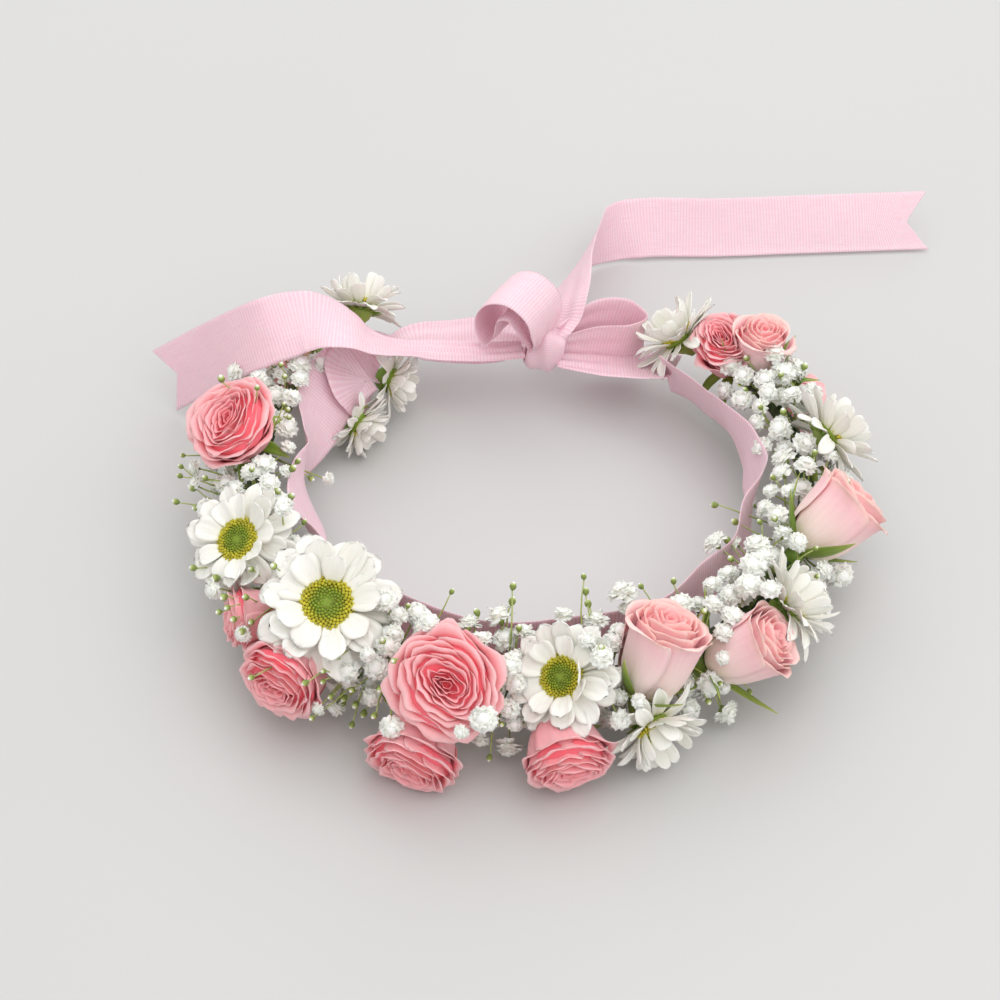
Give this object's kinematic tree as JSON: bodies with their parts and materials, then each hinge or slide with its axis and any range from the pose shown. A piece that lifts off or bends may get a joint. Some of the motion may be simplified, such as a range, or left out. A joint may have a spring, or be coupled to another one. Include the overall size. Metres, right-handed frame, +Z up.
{
  "type": "flower crown",
  "caption": "Open wire hoop dressed with spray roses, daisies and baby's breath, lined with grosgrain ribbon and tied at the back in a bow with two swallow-tail ends.",
  "frame": {"origin": "centre of the head opening, on the surface that the crown lies on", "axes": "+Z up out of the head opening, -Y to the front of the crown, +Y to the bow at the back, +X to the wearer's left"},
  "size_m": [0.3147, 0.3149, 0.0638],
  "materials": {
    "wire": "satin",
    "tape": "matte",
    "ribbon": "satin",
    "coral_petal": "matte",
    "peach_petal": "matte",
    "green_stem": "satin",
    "daisy_petal": "matte",
    "baby_breath": "matte"
  },
  "bodies": {
    "crown": {"base_wire": "wire", "floral_tape": "tape", "lining_ribbon": "ribbon", "tie_left": "ribbon", "tie_right": "ribbon", "tail_left_root": "ribbon", "bow_loop_front": "ribbon", "bow_loop_back": "ribbon", "left_fold": "ribbon", "bow_knot": "ribbon", "rose_01_petals": "coral_petal", "rose_01_calyx": "green_stem", "rose_02_petals": "coral_petal", "rose_02_calyx": "green_stem", "rose_03_petals": "coral_petal", "rose_03_calyx": "green_stem", "rose_04_petals": "coral_petal", "rose_04_calyx": "green_stem", "rose_05_petals": "coral_petal", "rose_05_calyx": "green_stem", "rose_06_petals": "coral_petal", "rose_06_calyx": "green_stem", "rose_07_petals": "peach_petal", "rose_07_calyx": "green_stem", "rose_08_petals": "peach_petal", "rose_08_calyx": "green_stem", "rose_09_petals": "peach_petal", "rose_09_calyx": "green_stem", "rose_10_petals": "coral_petal", "rose_10_calyx": "green_stem", "rose_11_petals": "peach_petal", "rose_11_calyx": "green_stem", "rose_12_petals": "coral_petal", "rose_12_calyx": "green_stem", "rose_13_petals": "coral_petal", "rose_13_calyx": "green_stem", "daisy_01": "daisy_petal", "daisy_02": "daisy_petal", "daisy_03": "daisy_petal", "daisy_04": "daisy_petal", "daisy_05": "daisy_petal", "daisy_06": "daisy_petal", "daisy_07": "daisy_petal", "daisy_08": "daisy_petal", "daisy_09": "daisy_petal", "daisy_10": "daisy_petal", "baby_breath_01": "baby_breath", "baby_breath_02": "baby_breath", "baby_breath_03": "baby_breath", "baby_breath_04": "baby_breath", "baby_breath_05": "baby_breath", "baby_breath_06": "baby_breath", "baby_breath_07": "baby_breath", "baby_breath_08": "baby_breath", "baby_breath_09": "baby_breath", "baby_breath_10": "baby_breath", "baby_breath_11": "baby_breath", "baby_breath_12": "baby_breath"},
    "left_tail": {"tail_left": "ribbon"},
    "right_tail": {"tail_right": "ribbon"}
  },
  "joints": [
    {"name": "left_tail_lift", "type": "hinge", "parent": "crown", "child": "left_tail", "pos_m": [-0.035, 0.0645, 0.0285], "axis": [0, 0.9507, 0.3101], "range_deg": [0, 40]},
    {"name": "right_tail_swing", "type": "hinge", "parent": "crown", "child": "right_tail", "pos_m": [0.01, 0.075, 0.03], "axis": [0, 0, 1], "range_deg": [-8, 50]}
  ]
}
